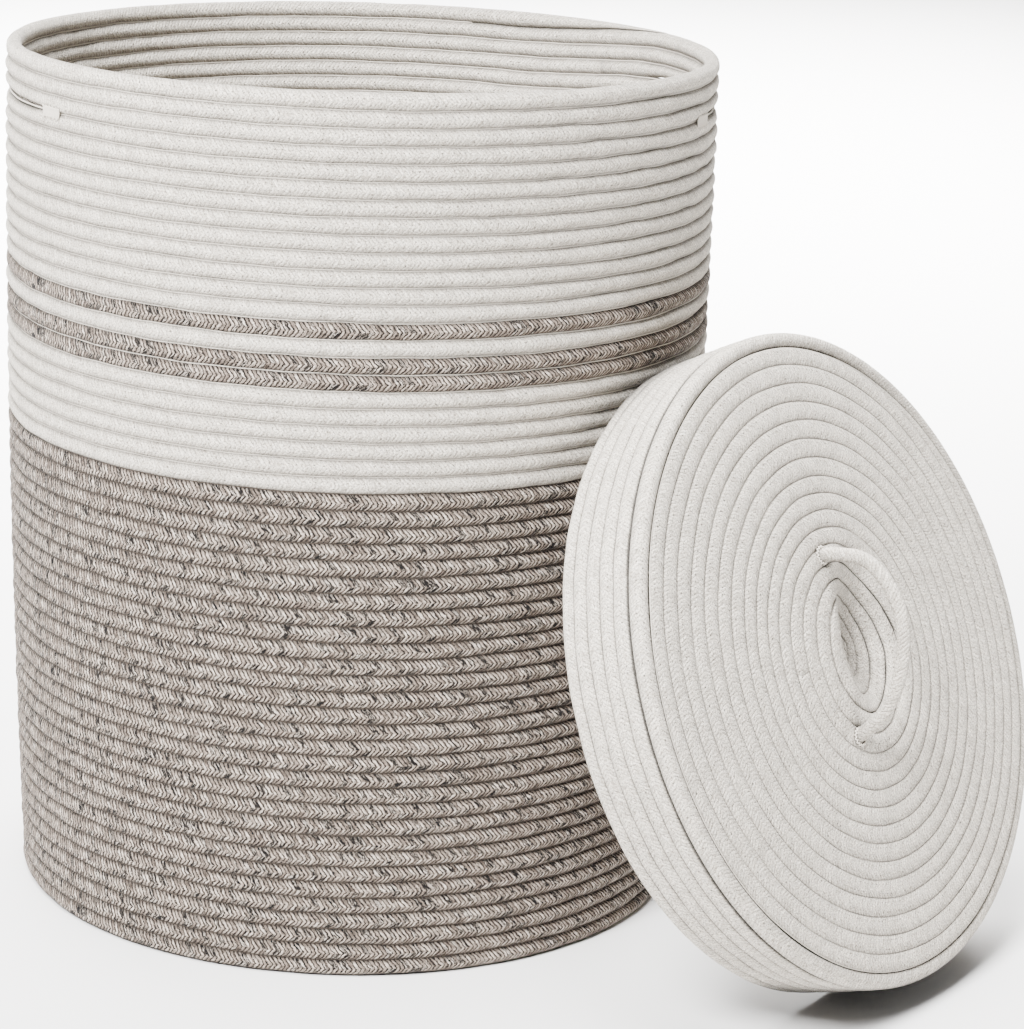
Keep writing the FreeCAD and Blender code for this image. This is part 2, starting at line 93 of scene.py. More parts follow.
pull = next(joint for joint in frame["record"]["behaviour"]["joints"] if joint["name"] == "lid_pull")
LID_ORIGIN = Vector(pull["pos_m"]) / MM
LID_N = Vector(pull["axis"]).normalized()
LID_U = Vector((-LID_N.y, LID_N.x, 0)).normalized()
LID_V = LID_N.cross(LID_U)
LID_DEPTH = 58.2
LID_RADIUS = 188.5
LID_MOUTH = 185.0
LID_ROWS = 5
LID_PITCH = 9.7
LID_CORE = 8.125
LID_FACE_EDGE = 178.975
LID_RINGS = 17
LID_RECESS_RINGS = 5
LID_CROWN = 6.0
RING_PITCH = (LID_FACE_EDGE - LID_CORE) / LID_RINGS
HOLLOW_MIDDLE = (20.0, 7.0)
HOLLOW_HALF = (36.0, 60.0)
HOLLOW_DEPTH = 19.0
HANDLE_MIDDLE = (-13.0, 8.5)
HANDLE_TURN = math.radians(7)
HANDLE_LEAN = 0.16          # sideways for each mm of height
FACE_STEP_SHARE = 0.25

THREAD_RADIUS = 0.5
TACK_LENGTH = 18.0
TACK_STROKES = 29
TACK_RISE = 3.3
FOOT_STITCHES = 14


# --- ropes -------------------------------------------------------------------------------


def unevenness(seed, spans=(34.0, 57.0, 113.0, 190.0)):
    """Smooth irregularity of hand-guided rope, within about 1 each way, along a length in mm."""
    draw = np.random.default_rng(seed)
    waves = [(span * draw.uniform(0.85, 1.2), draw.uniform(0, 2 * math.pi)) for span in spans]
    return lambda along: sum(np.sin(2 * math.pi * along / span + phase) for span, phase in waves) / 2.5


def smooth(share):
    share = np.clip(share, 0, 1)
    return share * share * (3 - 2 * share)


def unit(vectors):
    return vectors / np.maximum(np.linalg.norm(vectors, axis=-1, keepdims=True), 1e-9)


def lid_point(local):
    """Points of the lid's own frame, in mm, taken to the row frame."""
    basis = np.array([LID_U, LID_V, LID_N])
    return local @ basis + np.array(LID_ORIGIN)


def skin(name, loops, along, body, slot, nodes=(), closed=False):
    """A closed tube through loops of points, in mm.

    Its UV map is in mm too: along the rope, and round it from the crest.
    """
    steps, sides = loops.shape[:2]
    work = bmesh.new()
    work.loops.layers.uv.new("rope")
    bmesh.ops.create_grid(work, x_segments=steps - 1, y_segments=sides, size=1.0, calc_uvs=True)
    mesh = bpy.data.meshes.new(name)
    work.to_mesh(mesh)
    work.free()

    flat = np.empty(len(mesh.vertices) * 3)
    mesh.vertices.foreach_get("co", flat)
    flat = flat.reshape(-1, 3)
    step = np.rint((flat[:, 0] + 1) / 2 * (steps - 1)).astype(int)
    side = np.rint((flat[:, 1] + 1) / 2 * sides).astype(int)
    around = np.concatenate([loops, loops[:, :1]], axis=1)
    mesh.vertices.foreach_set("co", (around[step, side] * MM).ravel())

    girth = np.linalg.norm(np.diff(around[steps // 2], axis=0), axis=1)
    girth = np.concatenate([[0], np.cumsum(girth)])
    corner = np.empty(len(mesh.loops), dtype=int)
    mesh.loops.foreach_get("vertex_index", corner)
    uv = np.stack([along[step[corner]], girth[side[corner]] - girth[-1] / 2], axis=1)
    mesh.uv_layers[0].data.foreach_set("uv", uv.ravel())

    work = bmesh.new()
    work.from_mesh(mesh)
    bmesh.ops.remove_doubles(work, verts=work.verts, dist=2e-6)
    if not closed:
        rim = [edge for edge in work.edges if edge.is_boundary]
        bmesh.ops.holes_fill(work, edges=rim, sides=0)
    bmesh.ops.recalc_face_normals(work, faces=work.faces)
    for face in work.faces:
        face.smooth = len(face.verts) == 4      # the caps at the ends stay flat
    work.to_mesh(mesh)
    work.free()
    piece = bpy.data.objects.new(name, mesh)
    bpy.context.scene.collection.objects.link(piece)
    mesh.materials.append(MATERIALS[slot])
    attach(piece, body)
    if nodes:
        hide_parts(*nodes)
    return piece


# Half outlines of a rope from its crest to its side, as shares of its half sizes: pressed by
# its neighbours, pressed flat as in the lid, and free and round.
PRESSED = ((1.0, 0.0), (0.95, 0.32), (0.81, 0.60), (0.62, 0.82), (0.42, 0.97), (0.0, 1.03))
FLAT = ((1.0, 0.0), (0.975, 0.42), (0.91, 0.72), (0.82, 0.9), (0.7, 1.0), (0.0, 1.03))
ROUND = tuple((math.cos(math.radians(a)), math.sin(math.radians(a))) for a in (0, 20, 38, 54, 70, 90))


def whole_outline(half):
    """Full outline from the inner crest by the low side, the outer crest and the high side."""
    half = np.array(half)
    quarter = half[::-1]
    low_in = np.stack([-half[:, 0], -half[:, 1]], axis=1)[:-1]
    low_out = np.stack([quarter[:, 0], -quarter[:, 1]], axis=1)[:-1]
    high_out = half[:-1]
    high_in = np.stack([-quarter[:, 0], quarter[:, 1]], axis=1)[:-1]
    return np.concatenate([low_in, low_out, high_out, high_in])


def rope_loops(middle, across, out, loose_low, loose_high, outline=PRESSED):
    """Loops of a rope: across and out are half sizes, and each side is loose by 0 to 1."""
    pressed, free = whole_outline(outline), whole_outline(ROUND)
    loose_low = np.broadcast_to(np.asarray(loose_low, float), middle.shape[:1])[:, None]
    loose_high = np.broadcast_to(np.asarray(loose_high, float), middle.shape[:1])[:, None]
    loose = np.where(pressed[None, :, 1] < 0, loose_low, loose_high)
    x = pressed[None, :, 0] * (1 - loose) + free[None, :, 0] * loose
    y = pressed[None, :, 1] * (1 - loose) + free[None, :, 1] * loose
    return middle[:, None] + out[:, None] * x[..., None] + across[:, None] * y[..., None]


def sewn_rope(name, surface, turn, low, high, body, slot, loose_low=0.0, loose_high=0.0, depth=None,
              to_frame=None, flip=False, closed=False, outline=PRESSED):
    """A rope between two seams of a surface, given at each turn."""
    depth = np.full(turn.shape, ROPE_DEPTH) if depth is None else depth
    middle = surface((low + high) / 2, turn)
    across = (surface(high, turn) - surface(low, turn)) / 2
    out = unit(np.cross(np.gradient(middle, axis=0), across))
    if flip:
        out = -out
    loops = rope_loops(middle, across, out * depth[:, None] / 2, loose_low, loose_high, outline)
    if to_frame:
        loops = to_frame(loops)
    return skin(name, loops, length_along(middle), body, slot, [name], closed)


def thread(path, radius=THREAD_RADIUS, sides=5):
    """Loops of a thin round thread along a path."""
    ahead = unit(np.gradient(path, axis=0))
    side = unit(np.cross(ahead, np.array([0.12, 0.21, 0.97])))
    up = np.cross(side, ahead)
    angle = np.arange(sides) * 2 * math.pi / sides
    c, s = np.cos(angle)[None, :, None], np.sin(angle)[None, :, None]
    return path[:, None] + radius * (side[:, None] * c + up[:, None] * s)


def length_along(path):
    return np.concatenate([[0], np.cumsum(np.linalg.norm(np.diff(path, axis=0), axis=1))])


# --- materials ---------------------------------------------------------------------------


def linear(code):
    """Linear colour of an sRGB hex code."""
    parts = [int(code[i:i + 2], 16) / 255 for i in (0, 2, 4)]
    return tuple(p / 12.92 if p <= 0.04045 else ((p + 0.055) / 1.055) ** 2.4 for p in parts) + (1.0,)


class Shader:
    """A node material with one principled surface."""

    def __init__(self, name):
        self.material = bpy.data.materials.new(name)
        self.material.use_nodes = True
        self.tree = self.material.node_tree
        self.surface = self.tree.nodes["Principled BSDF"]

    def add(self, kind, inputs=(), **settings):
        node = self.tree.nodes.new(kind)
        for key, value in settings.items():
            setattr(node, key, value)
        for key, value in dict(inputs).items():
            if isinstance(value, bpy.types.NodeSocket):
                self.tree.links.new(value, node.inputs[key])
            else:
                node.inputs[key].default_value = value
        return node

    def math(self, operation, *values):
        return self.add("ShaderNodeMath", dict(enumerate(values)), operation=operation).outputs[0]

    def between(self, value, low, high, at_low=0.0, at_high=1.0):
        node = self.add("ShaderNodeMapRange", {0: value, 1: low, 2: high, 3: at_low, 4: at_high},
                        interpolation_type="SMOOTHSTEP")
        return node.outputs[0]

    def mix(self, share, first, second, blend="MIX"):
        node = self.add("ShaderNodeMix", {0: share, 6: first, 7: second}, data_type="RGBA", blend_type=blend)
        return node.outputs[2]

    def ramp(self, value, stops):
        node = self.add("ShaderNodeValToRGB", {0: value})
        ramp = node.color_ramp
        while len(ramp.elements) < len(stops):
            ramp.elements.new(0.5)
        for element, (place, code) in zip(ramp.elements, stops):
            element.position = place
            element.color = linear(code)
        return node.outputs[0]


STRAND = 2.5                # width of one strand of the braid along the rope
SLANT = 0.72                # how far a strand leans along the rope over its height
HALF_GIRTH = 8.1            # from the crest to the middle of a seam, round the rope


def braid(shader):
    """Places on the braid.

    They are the length along, the height from the crest, the strand count, which half of the rope,
    the place in the strand and the strand's own value.
    """
    uv = shader.add("ShaderNodeUVMap", uv_map="rope").outputs[0]
    parts = shader.add("ShaderNodeSeparateXYZ", {0: uv})
    along, round_rope = parts.outputs[0], parts.outputs[1]
    height = shader.math("PINGPONG", shader.math("ABSOLUTE", round_rope), HALF_GIRTH)
    lean = shader.math("SUBTRACT", along, shader.math("MULTIPLY", height, SLANT))
    warp = shader.add("ShaderNodeTexNoise", {"Vector": uv, "Scale": 0.22, "Detail": 2.0})
    ruffle = shader.add("ShaderNodeTexNoise", {"Vector": uv, "Scale": 0.6, "Detail": 1.0})
    lean = shader.math("ADD", lean, shader.math("MULTIPLY", warp.outputs[0], 2.4))
    lean = shader.math("ADD", lean, shader.math("MULTIPLY", ruffle.outputs[0], 1.3))
    count = shader.math("DIVIDE", lean, STRAND)
    half = shader.math("MULTIPLY", shader.math("SIGN", round_rope), 37.0)
    number = shader.math("ADD", shader.math("FLOOR", count), half)
    own = shader.add("ShaderNodeTexWhiteNoise", {"W": number}, noise_dimensions="1D").outputs[0]
    place = shader.math("FRACT", count)
    return uv, along, height, count, half, place, own


def strand_relief(shader, place):
    """0 between strands, 1 on a strand's back."""
    off = shader.math("ABSOLUTE", shader.math("SUBTRACT", shader.math("MULTIPLY", place, 2.0), 1.0))
    return shader.math("SUBTRACT", 1.0, shader.math("MULTIPLY", off, off))


def fibres(shader, count, height, half, across, lengthwise, detail=3.0):
    """Fine lines that run with the strands."""
    vector = shader.add("ShaderNodeCombineXYZ", {
        0: shader.math("MULTIPLY", count, across),
        1: shader.math("MULTIPLY", height, lengthwise),
        2: half,
    }).outputs[0]
    noise = {"Vector": vector, "Scale": 1.0, "Detail": detail, "Roughness": 0.6}
    return shader.add("ShaderNodeTexNoise", noise).outputs[0]


def needle_holes(shader, along, height, uv):
    """1 in the pairs of small holes that the needle leaves in each row."""
    drift = shader.add("ShaderNodeTexNoise", {"Vector": uv, "Scale": 0.05, "Detail": 1.0}).outputs[0]
    shifted = shader.math("ADD", along, shader.math("MULTIPLY", drift, 14.0))
    place = shader.math("SUBTRACT", shader.math("PINGPONG", shifted, 3.75), 1.9)
    rise = shader.math("SUBTRACT", height, 1.75)
    square = shader.math("ADD", shader.math("MULTIPLY", place, place), shader.math("MULTIPLY", rise, rise))
    return shader.between(shader.math("SQRT", square), 0.22, 0.62, 1.0, 0.0)


def grain(shader, uv, scale, low, high):
    """Fine fuzz of spun cotton, as a tone."""
    settings = {"Vector": uv, "Scale": scale, "Detail": 3.0, "Roughness": 0.7}
    noise = shader.add("ShaderNodeTexNoise", settings).outputs[0]
    return noise, shader.between(noise, 0.3, 0.7, low, high)


def finish_cloth(shader, colour, relief, depth_mm, roughness=0.92, sheen=0.1):
    bump = shader.add("ShaderNodeBump", {"Strength": 1.0, "Distance": depth_mm * MM, "Height": relief})
    surface = shader.surface.inputs
    shader.tree.links.new(colour, surface["Base Color"])
    shader.tree.links.new(bump.outputs[0], surface["Normal"])
    surface["Roughness"].default_value = roughness
    surface["Specular IOR Level"].default_value = 0.18
    surface["Sheen Weight"].default_value = sheen
    surface["Sheen Roughness"].default_value = 0.5
    return shader.material


def speckle(shader, uv, scale, low, high):
    """Patches where a mark shows more, from 0 to 1."""
    noise = shader.add("ShaderNodeTexNoise", {"Vector": uv, "Scale": scale, "Detail": 2.0}).outputs[0]
    return shader.between(noise, low, high)


def toned(shader, colour, tone):
    grey = shader.add("ShaderNodeCombineColor", {0: tone, 1: tone, 2: tone}).outputs[0]
    return shader.mix(1.0, colour, grey, "MULTIPLY")


def white_rope_material(name, sewn, groove, occlusion_shade_tone):
    """Unbleached white cotton rope, matt, in a fine herringbone braid.

    groove is the tone of the painted shade where two rows meet. Places shut in by other rope get
    painted shade from an ambient occlusion node, down to the tone of the last argument: a shading aid, not a
    finish.
    """
    shader = Shader(name)
    uv, along, height, count, half, place, own = braid(shader)
    relief = strand_relief(shader, place)
    fine = fibres(shader, count, height, half, 3.2, 0.3)
    colour = shader.ramp(fine, ((0.28, "b3a899"), (0.5, "e0d7c9"), (0.72, "f4eee3")))
    fuzz, tone = grain(shader, uv, 1.0, 0.4, 1.12)
    tone = shader.math("MULTIPLY", tone, shader.between(own, 0.0, 1.0, 0.8, 1.0))
    # painted shade in the crevices between strands of the braid
    tone = shader.math("MULTIPLY", tone, shader.between(relief, 0.0, 0.6, 0.62, 1.0))
    # painted shade: the tone falls from the crest towards the grooves between rows, down to groove
    tone = shader.math("MULTIPLY", tone, shader.between(height, 1.2, 6.0, 1.06, groove))
    relief = shader.math("ADD", shader.math("MULTIPLY", relief, 0.3), shader.math("MULTIPLY", fine, 0.3))
    relief = shader.math("ADD", relief, shader.math("MULTIPLY", fuzz, 0.6))
    if sewn:
        shown = speckle(shader, uv, 0.6, 0.35, 0.65)
        hole = shader.math("MULTIPLY", needle_holes(shader, along, height, uv), shown)
        filled = shader.math("SUBTRACT", 1.0, shader.math("MULTIPLY", hole, 0.6))
        tone = shader.math("MULTIPLY", tone, filled)
        relief = shader.math("SUBTRACT", relief, shader.math("MULTIPLY", hole, 1.0))
    # painted shade: darker where other rope shuts the place in, as ambient occlusion finds it
    occlusion_openness = shader.add("ShaderNodeAmbientOcclusion", {"Distance": 35 * MM}, samples=8).outputs["AO"]
    tone = shader.math("MULTIPLY", tone, shader.between(occlusion_openness, 0.35, 0.9, occlusion_shade_tone, 1.0))
    return finish_cloth(shader, toned(shader, colour, tone), relief, 0.85, sheen=0.08)


def heather_rope_material():
    """Cotton rope braided from mixed brown-black, greige and cream yarns, matt."""
    shader = Shader("heather_cotton_rope")
    uv, along, height, count, half, place, own = braid(shader)
    relief = strand_relief(shader, place)
    fine = fibres(shader, count, height, half, 3.0, 0.22)
    own_light = shader.math("MULTIPLY", shader.math("SUBTRACT", own, 0.5), 0.18)
    light = shader.math("ADD", fine, own_light)
    colour = shader.ramp(light, ((0.3, "3a322c"), (0.44, "73675d"), (0.56, "a99c8f"), (0.7, "dbd0c4")))
    tint = shader.add("ShaderNodeTexNoise", {"Vector": uv, "Scale": 0.5, "Detail": 1.0}).outputs[0]
    colour = shader.mix(shader.between(tint, 0.45, 0.75, 0.0, 0.35), colour, linear("a38f84"))
    # painted shade: near-black in the gaps between strands, in broken patches, joined below with the real
    # dark yarns
    gap = shader.between(relief, 0.5, 0.88, 1.0, 0.0)
    broken = shader.add("ShaderNodeTexNoise", {"Vector": uv, "Scale": 1.1, "Detail": 2.0}).outputs[0]
    dark = shader.math("MULTIPLY", gap, shader.between(broken, 0.38, 0.5, 0.5, 1.0))
    worn = shader.between(fine, 0.45, 0.62, 1.0, 0.2)
    yarn = shader.math("MULTIPLY", shader.between(own, 0.74, 0.82), worn)
    dark = shader.math("MAXIMUM", dark, yarn)
    colour = shader.mix(dark, colour, linear("0d0a09"))
    # painted shade: the tone falls from the crest towards the grooves between rows
    tone = shader.between(height, 1.8, 5.8, 1.0, 0.36)
    hole = shader.math("MULTIPLY", needle_holes(shader, along, height, uv), 0.4)
    tone = shader.math("MULTIPLY", tone, shader.math("SUBTRACT", 1.0, hole))
    relief = shader.math("ADD", shader.math("MULTIPLY", relief, 0.7), shader.math("MULTIPLY", fine, 0.3))
    return finish_cloth(shader, toned(shader, colour, tone), relief, 0.8, sheen=0.02)


def thread_material(name, code):
    """Twisted cotton sewing thread, matt."""
    shader = Shader(name)
    where = shader.add("ShaderNodeTexCoord").outputs["Object"]
    twist = shader.add("ShaderNodeTexNoise", {"Vector": where, "Scale": 2600.0, "Detail": 1.0}).outputs[0]
    base = shader.add("ShaderNodeRGB").outputs[0]
    base.default_value = linear(code)
    tone = shader.between(twist, 0.3, 0.7, 0.86, 1.0)
    return finish_cloth(shader, toned(shader, base, tone), twist, 0.06)


def floor_material():
    """Plain white paper sweep."""
    shader = Shader("white_paper")
    shader.surface.inputs["Base Color"].default_value = linear("dcdbda")
    shader.surface.inputs["Roughness"].default_value = 0.9
    shader.surface.inputs["Specular IOR Level"].default_value = 0.1
    return shader.material


# The white copies differ in the depth of their painted shade, in the grooves and where rope shuts places in;
# it is deepest on the lid's face, to darken the hollow under the handle.
MATERIALS = {
    "white": white_rope_material("white_cotton_rope", True, 0.6, 0.5),
    "white_face": white_rope_material("white_cotton_rope_pressed_flat", True, 0.8, 0.12),
    "white_plain": white_rope_material("white_cotton_rope_unsewn", False, 0.8, 0.7),
    "heather": heather_rope_material(),
    "thread": thread_material("white_sewing_thread", "cdc5b9"),
    "thread_low": thread_material("greige_sewing_thread", "453d37"),
}


# --- basket ------------------------------------------------------------------------------


def wall_crest(height):
    """Outer radius of the wall at a height."""
    share = height / WALL_HEIGHT
    return FOOT_RADIUS + (MOUTH_RADIUS - FOOT_RADIUS) * share + 4 * BELLY * share * (1 - share)


def wall_surface(height, turn):
    """Middle of the wall's rope at a height and a number of turns, in mm."""
    angle = STEP_START - 2 * math.pi * turn
    radius = wall_crest(height) - ROPE_DEPTH / 2 + wall_bulge(turn * WALL_TURN) * HAND_WAVE
    return np.stack([radius * np.cos(angle), radius * np.sin(angle), height], axis=-1)


def climb(turn, share):
    """Rows gained: a row is level but for the step up at its start."""
    whole = np.floor(turn)
    return whole + smooth((turn - whole) / share)


def slit_opening(turn):
    """1 in the middle of a hand slit, 0 at its ends and elsewhere."""
    angle = STEP_START - 2 * math.pi * turn
    half = SLIT_LENGTH / 2 / (MOUTH_RADIUS - ROPE_DEPTH / 2)
    opening = np.zeros_like(turn)
    for middle in SLIT_ANGLES:
        off = np.abs((angle - middle + math.pi) % (2 * math.pi) - math.pi) / half
        opening = np.maximum(opening, np.sqrt(np.clip(1 - off ** 4, 0, 1)))
    return opening


def wall_seam(turn):
    """Height of the seam above the rope at this turn."""
    height = ROW_PITCH * climb(turn, STEP_SHARE) + wall_wave(turn * WALL_TURN) * HAND_WAVE
    return np.clip(height, 0, WALL_HEIGHT)


def wall_rows(name, first, last, slot, steps=150):
    """Rows of the wall from one count to another, one rope wound round and round."""
    begin = first + STEP_SHARE / 2 if first else END_GAP
    end = last + STEP_SHARE / 2 if last < WALL_ROWS else last + STEP_SHARE - TOP_GAP
    turn = np.linspace(begin, end, int((end - begin) * steps))
    low, high = wall_seam(turn - 1), wall_seam(turn)
    opening = slit_opening(turn)
    row = np.floor(turn - STEP_SHARE * 0.6) + 1
    under = np.where(row == SLIT_ROW, opening, 0)
    over = np.where(row == SLIT_ROW + 1, opening, 0)
    high = high - SLIT_GAP / 2 * under
    low = low + SLIT_GAP / 2 * over
    tapered = smooth((high - low) / ROW_PITCH)
    rim = smooth(1 - (WALL_HEIGHT - high) / 2)
    foot = smooth(1 - low / 2)
    depth = (ROPE_DEPTH + wall_girth(turn * WALL_TURN) * 0.15) * (0.35 + 0.65 * tapered)
    return sewn_rope(name, wall_surface, turn, low, high, "basket", slot, np.maximum(over, foot),
                     np.maximum(under, rim), depth, flip=True)


def flat_surface(radius, turn):
    angle = 2 * math.pi * turn
    height = np.full_like(turn, ROPE_DEPTH / 2)
    return np.stack([radius * np.cos(angle), radius * np.sin(angle), height], axis=-1)


def even_turns(begin, end, core, pitch, step_mm):
    """Turns of a flat coil at even steps of length."""
    dense = np.linspace(begin, end, 4000)
    speed = 2 * math.pi * (core + pitch * np.clip(dense, 0.3, None))
    length = np.concatenate([[0], np.cumsum((speed[1:] + speed[:-1]) / 2 * np.diff(dense))])
    return np.interp(np.linspace(0, length[-1], int(length[-1] / step_mm)), length, dense)


wall_bulge = unevenness(11)
wall_wave = unevenness(12)
wall_girth = unevenness(13)
face_wave = unevenness(14)
face_bulge = unevenness(15)


def make_wall():
    bands = (
        ("lower_wall", LOWER_ROWS, "heather"),
        ("middle_band", MIDDLE_ROWS, "white"),
        ("double_stripe", DOUBLE_ROWS, "heather"),
        ("spacer_row", SPACER_ROWS, "white"),
        ("single_stripe", SINGLE_ROWS, "heather"),
        ("upper_wall", UPPER_ROWS, "white"),
        ("rim_band", RIM_ROWS, "white"),
    )
    first = 0
    for name, rows, slot in bands:
        wall_rows(name, first, first + rows, slot)
        first += rows


def make_wall_thread():
    """The thread that lies in the grooves, outside and inside, and holds the rows together."""
    turn = np.linspace(1.0, WALL_ROWS - 0.02, int(WALL_ROWS * 120))
    height = ROW_PITCH * climb(turn - 1, STEP_SHARE) + wall_wave((turn - 1) * WALL_TURN) * HAND_WAVE
    keep = height > 2.0
    turn, height = turn[keep], height[keep]
    path = wall_surface(height, turn)
    outward = unit(path * np.array([1.0, 1.0, 0.0]))
    inside = path - outward * (ROPE_DEPTH / 2 - 2.4)
    path = path + outward * (ROPE_DEPTH / 2 - 2.7)
    white = height > ROW_PITCH * (LOWER_ROWS + 0.3)
    threads = (
        ("wall_seam_thread", path[~white], "thread_low", ["wall_seam_thread"]),
        ("wall_seam_thread_white", path[white], "thread", []),
        ("wall_seam_thread_inside", inside, "thread", []),
    )
    for name, way, slot, nodes in threads:
        skin(name, thread(way), length_along(way), "basket", slot, nodes)


def make_base():
    rings = round((BASE_EDGE - BASE_CORE) / ROW_PITCH)
    pitch = (BASE_EDGE - BASE_CORE) / rings
    turn = even_turns(0.06, rings + 0.94, BASE_CORE, pitch, 5.5)
    seam_of = lambda t: np.clip(BASE_CORE + pitch * t, BASE_CORE, BASE_EDGE)
    low, high = seam_of(turn - 1), seam_of(turn)
    tapered = smooth((high - low) / pitch)
    sewn_rope("base_coil", flat_surface, turn, low, high, "basket", "heather", 0.0, 0.0,
              ROPE_DEPTH * (0.4 + 0.6 * tapered))
    turn = np.linspace(0, 1, 41)
    sewn_rope("base_core", flat_surface, turn, np.full(41, 0.4), np.full(41, BASE_CORE), "basket",
              "heather", closed=True)
    turn = even_turns(0.1, rings, BASE_CORE, pitch, 7.0)
    path = flat_surface(seam_of(turn), turn) + np.array([0, 0, ROPE_DEPTH / 2 - 1.9])
    skin("base_seam_thread", thread(path), length_along(path), "basket", "thread_low", ["base_seam_thread"])


# --- lid ---------------------------------------------------------------------------------


def hollow(x, y):
    """Depth of the boat-shaped hollow under the handle."""
    x, y = x - HOLLOW_MIDDLE[0], y - HOLLOW_MIDDLE[1]
    c, s = math.cos(HANDLE_TURN), math.sin(HANDLE_TURN)
    off = ((x * c - y * s) / HOLLOW_HALF[0]) ** 2 + ((x * s + y * c) / HOLLOW_HALF[1]) ** 2
    return HOLLOW_DEPTH * (1 - np.clip(off, 0, 1)) ** 2


def face_surface(radius, turn):
    """Middle of the face's rope, in the lid's own frame.

    The inner rings are pushed towards the hollow, and longer towards the handle's feet.
    """
    angle = 2 * math.pi * turn
    longer = 2.5 * smooth((radius - 6) / 18) * (1 - smooth((radius - 90) / 90))
    pushed = 1 - smooth(radius / 75)
    x = (radius - longer) * np.cos(angle) + 13 * pushed
    y = (radius + longer) * np.sin(angle) + 3 * pushed
    height = LID_DEPTH - ROPE_DEPTH / 2 + LID_CROWN * (1 - (radius / LID_RADIUS) ** 2) - hollow(x, y)
    height = height + face_bulge(turn * FACE_TURN) * 0.22
    return np.stack([x, y, height], axis=-1)


def face_seam(turn):
    """Radius of the seam outside the rope at this turn of the face."""
    turn = np.asarray(turn)
    whole = np.floor(turn)
    part = turn - whole
    steady = np.clip((15 - whole) / 6, 0, 1)
    gained = whole + steady * part + (1 - steady) * smooth(part / FACE_STEP_SHARE)
    radius = LID_CORE + RING_PITCH * gained + face_wave(turn * FACE_TURN) * HAND_WAVE * smooth(turn / 3)
    return np.clip(radius, LID_CORE, LID_FACE_EDGE)


def face_rope(name, begin, end):
    turn = even_turns(begin, end, LID_CORE, RING_PITCH, 4.5)
    low, high = face_seam(turn - 1), face_seam(turn)
    tapered = smooth((high - low) / RING_PITCH)
    return sewn_rope(name, face_surface, turn, low, high, "lid", "white_face", 0.0, 0.0,
                     ROPE_DEPTH * (0.4 + 0.6 * tapered), to_frame=lid_point, outline=FLAT)


def side_surface(height, turn):
    """Middle of the lid's side, in the lid's own frame."""
    share = height / (LID_ROWS * LID_PITCH)
    crest = LID_MOUTH + (LID_RADIUS - LID_MOUTH) * share
    radius = crest - ROPE_DEPTH / 2 + wall_bulge(turn * SIDE_TURN + 300) * 0.25
    angle = 2 * math.pi * turn - 0.5
    return np.stack([radius * np.cos(angle), radius * np.sin(angle), height], axis=-1)


def side_seam(turn):
    height = LID_PITCH * climb(turn, STEP_SHARE) + wall_wave(turn * SIDE_TURN + 500) * HAND_WAVE
    return np.clip(height, 0, LID_PITCH * LID_ROWS)


def corner_surface(share, turn):
    """From the side's last seam over the corner to the face's first."""
    radius = 183.5 + 3.5 * (1 - 2 * share)
    height = 53.3 - 3.5 * (1 - 2 * share)
    angle = 2 * math.pi * turn
    return np.stack([radius * np.cos(angle), radius * np.sin(angle), height], axis=-1)


def make_lid():
    face_rope("lid_recess", 0.08, LID_RECESS_RINGS + 0.503)
    face_rope("lid_face", LID_RECESS_RINGS + 0.497, LID_RINGS + FACE_STEP_SHARE - END_GAP)

    turn = np.linspace(0, 1, 33)
    sewn_rope("lid_core", face_surface, turn, np.full(33, 0.4), np.full(33, LID_CORE), "lid", "white_face",
              to_frame=lid_point, closed=True, outline=FLAT)

    turn = np.linspace(0, 1, 221)
    sewn_rope("lid_corner_row", corner_surface, turn, np.zeros(221), np.ones(221), "lid", "white_face",
              0.3, 0.3, np.full(221, 9.6), to_frame=lid_point, closed=True)

    turn = np.linspace(END_GAP, LID_ROWS + STEP_SHARE - END_GAP, LID_ROWS * 190)
    low, high = side_seam(turn - 1), side_seam(turn)
    tapered = smooth((high - low) / LID_PITCH)
    sewn_rope("lid_wall", side_surface, turn, low, high, "lid", "white_face", smooth(1 - low / 2), 0.0,
              ROPE_DEPTH * (0.4 + 0.6 * tapered), to_frame=lid_point, outline=FLAT)

    turn = even_turns(0.2, LID_RINGS, LID_CORE, RING_PITCH, 7.0)
    face_path = face_surface(face_seam(turn), turn)
    lift = unit(np.cross(np.gradient(face_path, axis=0), face_path * np.array([1.0, 1.0, 0.0])))
    face_path = lid_point(face_path - lift * (ROPE_DEPTH / 2 - 1.7))
    skin("lid_face_thread", thread(face_path), length_along(face_path), "lid", "thread", ["lid_seam_thread"])
    turn = np.linspace(1.1, LID_ROWS, LID_ROWS * 150)
    side_path = side_surface(side_seam(turn - 1), turn)
    side_path = side_path + unit(side_path * np.array([1.0, 1.0, 0.0])) * (ROPE_DEPTH / 2 - 1.7)
    side_path = lid_point(side_path)
    skin("lid_side_thread", thread(side_path), length_along(side_path), "lid", "thread")


def curve_through(points, steps):
    """Smooth path through a few points."""
    points = np.array(points, float)
    ends = np.concatenate([[2 * points[0] - points[1]], points, [2 * points[-1] - points[-2]]])
    path = []
    for a, b, c, d in zip(ends, ends[1:], ends[2:], ends[3:]):
        t = np.linspace(0, 1, steps, endpoint=False)[:, None]
        bend = (2 * a - 5 * b + 4 * c - d) * t ** 2
        path.append(0.5 * (2 * b + (c - a) * t + bend + (3 * b - a - 3 * c + d) * t ** 3))
    return np.concatenate(path + [points[-1:]])


HANDLE_ARCH = (             # along the hollow and above the plane of the face's edge
    (51.5, -6.0), (51.0, 4.0), (49.5, 14.0), (43.5, 29.0), (31.5, 38.2), (15.5, 43.6), (-0.5, 43.8),
    (-16.5, 39.6), (-30.5, 33.0), (-42.5, 23.0), (-49.5, 12.0), (-53.0, 3.0), (-54.0, -6.0),
)


